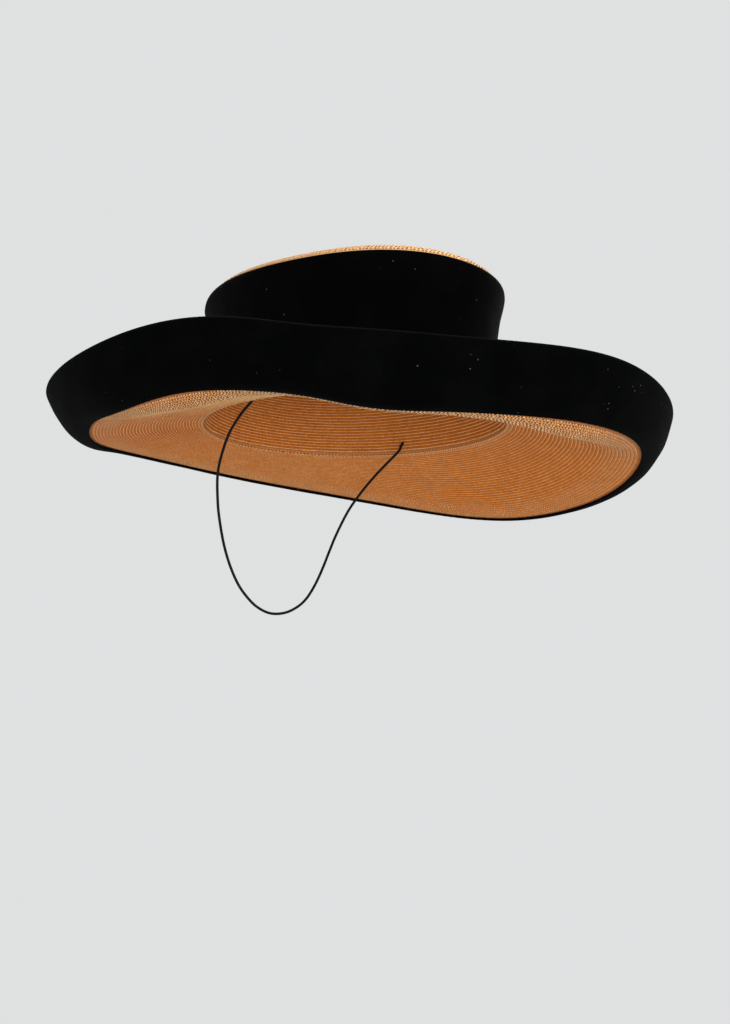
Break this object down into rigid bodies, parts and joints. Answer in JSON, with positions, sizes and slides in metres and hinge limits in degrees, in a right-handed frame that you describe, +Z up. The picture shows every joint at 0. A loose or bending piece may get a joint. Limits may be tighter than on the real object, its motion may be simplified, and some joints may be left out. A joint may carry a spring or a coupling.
{
  "type": "wide brim straw hat",
  "caption": "Wide brim straw hat with a turned-up velvet-faced brim, an oval velvet-wrapped crown, a flat tip and a thin elastic for the back of the head.",
  "frame": {"origin": "middle of the level head opening, where the hat sits on a head", "axes": "+Z up through the crown; -Y the hat's front; -X the wearer's right"},
  "size_m": [0.3686, 0.3958, 0.2131],
  "materials": {
    "straw": "natural honey-brown straw braid in 2.2 mm rows, satin",
    "velvet": "black cotton velvet, matt with a faint grey sheen at grazing angles",
    "elastic": "black covered elastic cord, matt"
  },
  "bodies": {
    "root": {"straw_brim": "straw", "straw_crown_side": "straw", "straw_crown_tip": "straw", "velvet_crown_band": "velvet", "velvet_brim_facing": "velvet", "elastic": "elastic"}
  },
  "joints": []
}
